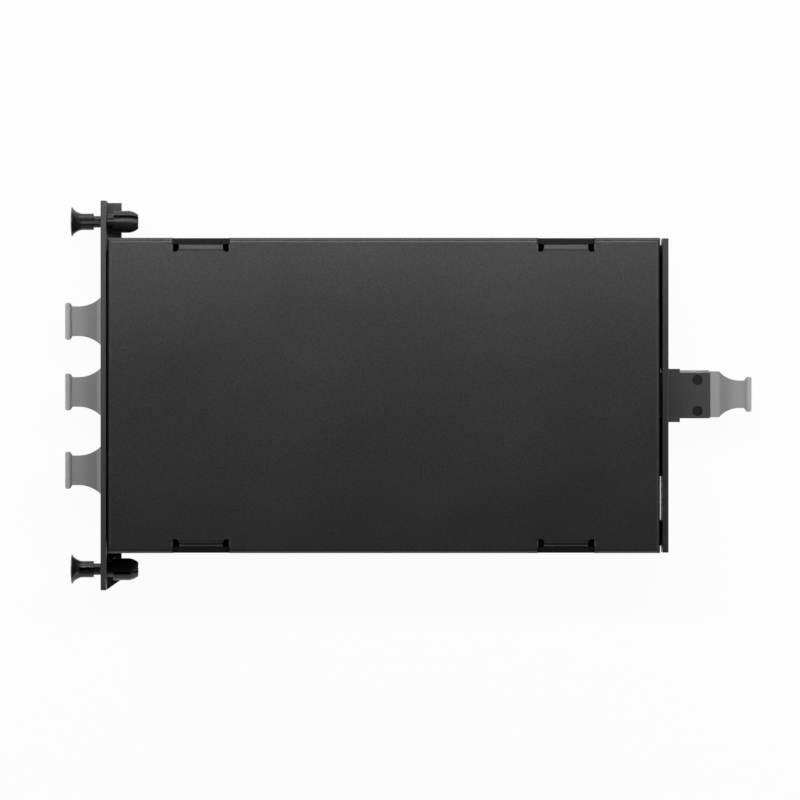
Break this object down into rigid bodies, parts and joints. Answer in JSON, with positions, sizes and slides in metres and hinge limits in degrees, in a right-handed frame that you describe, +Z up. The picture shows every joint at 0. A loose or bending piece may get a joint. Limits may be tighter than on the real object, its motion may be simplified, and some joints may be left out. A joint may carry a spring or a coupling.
{
  "type": "fibre cassette",
  "caption": "Slim folded-steel fibre cassette with a push-rivet front plate, capped multi-fibre ports in front and behind.",
  "frame": {"origin": "halfway between the two push rivets, on the front plate's rear face", "axes": "+X from the front plate to the rear wall, +Y to the left for someone facing the front plate, +Z up"},
  "size_m": [0.232, 0.1314, 0.029],
  "materials": {
    "case_steel": "fine black powder coat",
    "bracket_steel": "black powder coat",
    "plate_plastic": "moulded, lightly grained",
    "rivet_plastic": "moulded nylon",
    "adapter_plastic": "moulded",
    "cap_plastic": "soft moulded grey",
    "clip_steel": "bright sprung strip",
    "screw_steel": "black zinc plate",
    "plug_plastic": "moulded",
    "boot_rubber": "soft moulded",
    "cable_jacket": "extruded jacket",
    "block_plastic": "moulded"
  },
  "bodies": {
    "case": {"tray": "case_steel", "cover": "case_steel", "adapter_bracket": "bracket_steel", "front_plate": "plate_plastic", "plate_screws": "screw_steel", "bracket_rivets": "screw_steel", "breakout_block": "block_plastic", "cable_posts": "block_plastic", "trunk_cable": "cable_jacket", "left_adapter": "adapter_plastic", "left_adapter_clip": "clip_steel", "left_plug": "plug_plastic", "left_boot": "boot_rubber", "centre_adapter": "adapter_plastic", "centre_adapter_clip": "clip_steel", "centre_plug": "plug_plastic", "centre_boot": "boot_rubber", "right_adapter": "adapter_plastic", "right_adapter_clip": "clip_steel", "right_plug": "plug_plastic", "right_boot": "boot_rubber", "rear_adapter": "adapter_plastic", "rear_adapter_clip": "clip_steel", "rear_plug": "plug_plastic", "rear_boot": "boot_rubber", "left_leg": "cable_jacket", "centre_leg": "cable_jacket", "right_leg": "cable_jacket", "left_grommet": "rivet_plastic", "right_grommet": "rivet_plastic"},
    "left_dust_cap_body": {"left_dust_cap": "cap_plastic"},
    "centre_dust_cap_body": {"centre_dust_cap": "cap_plastic"},
    "right_dust_cap_body": {"right_dust_cap": "cap_plastic"},
    "rear_dust_cap_body": {"rear_dust_cap": "cap_plastic"},
    "left_plunger_body": {"left_plunger": "rivet_plastic"},
    "right_plunger_body": {"right_plunger": "rivet_plastic"}
  },
  "joints": [
    {"name": "left_cap_slide", "type": "slide", "parent": "case", "child": "left_dust_cap_body", "axis": [-1, 0, 0], "range_m": [0, 0.02]},
    {"name": "centre_cap_slide", "type": "slide", "parent": "case", "child": "centre_dust_cap_body", "axis": [-1, 0, 0], "range_m": [0, 0.02]},
    {"name": "right_cap_slide", "type": "slide", "parent": "case", "child": "right_dust_cap_body", "axis": [-1, 0, 0], "range_m": [0, 0.02]},
    {"name": "rear_cap_slide", "type": "slide", "parent": "case", "child": "rear_dust_cap_body", "axis": [1, 0, 0], "range_m": [0, 0.02]},
    {"name": "left_plunger_slide", "type": "slide", "parent": "case", "child": "left_plunger_body", "axis": [1, 0, 0], "range_m": [0, 0.0025]},
    {"name": "right_plunger_slide", "type": "slide", "parent": "case", "child": "right_plunger_body", "axis": [1, 0, 0], "range_m": [0, 0.0025]}
  ]
}
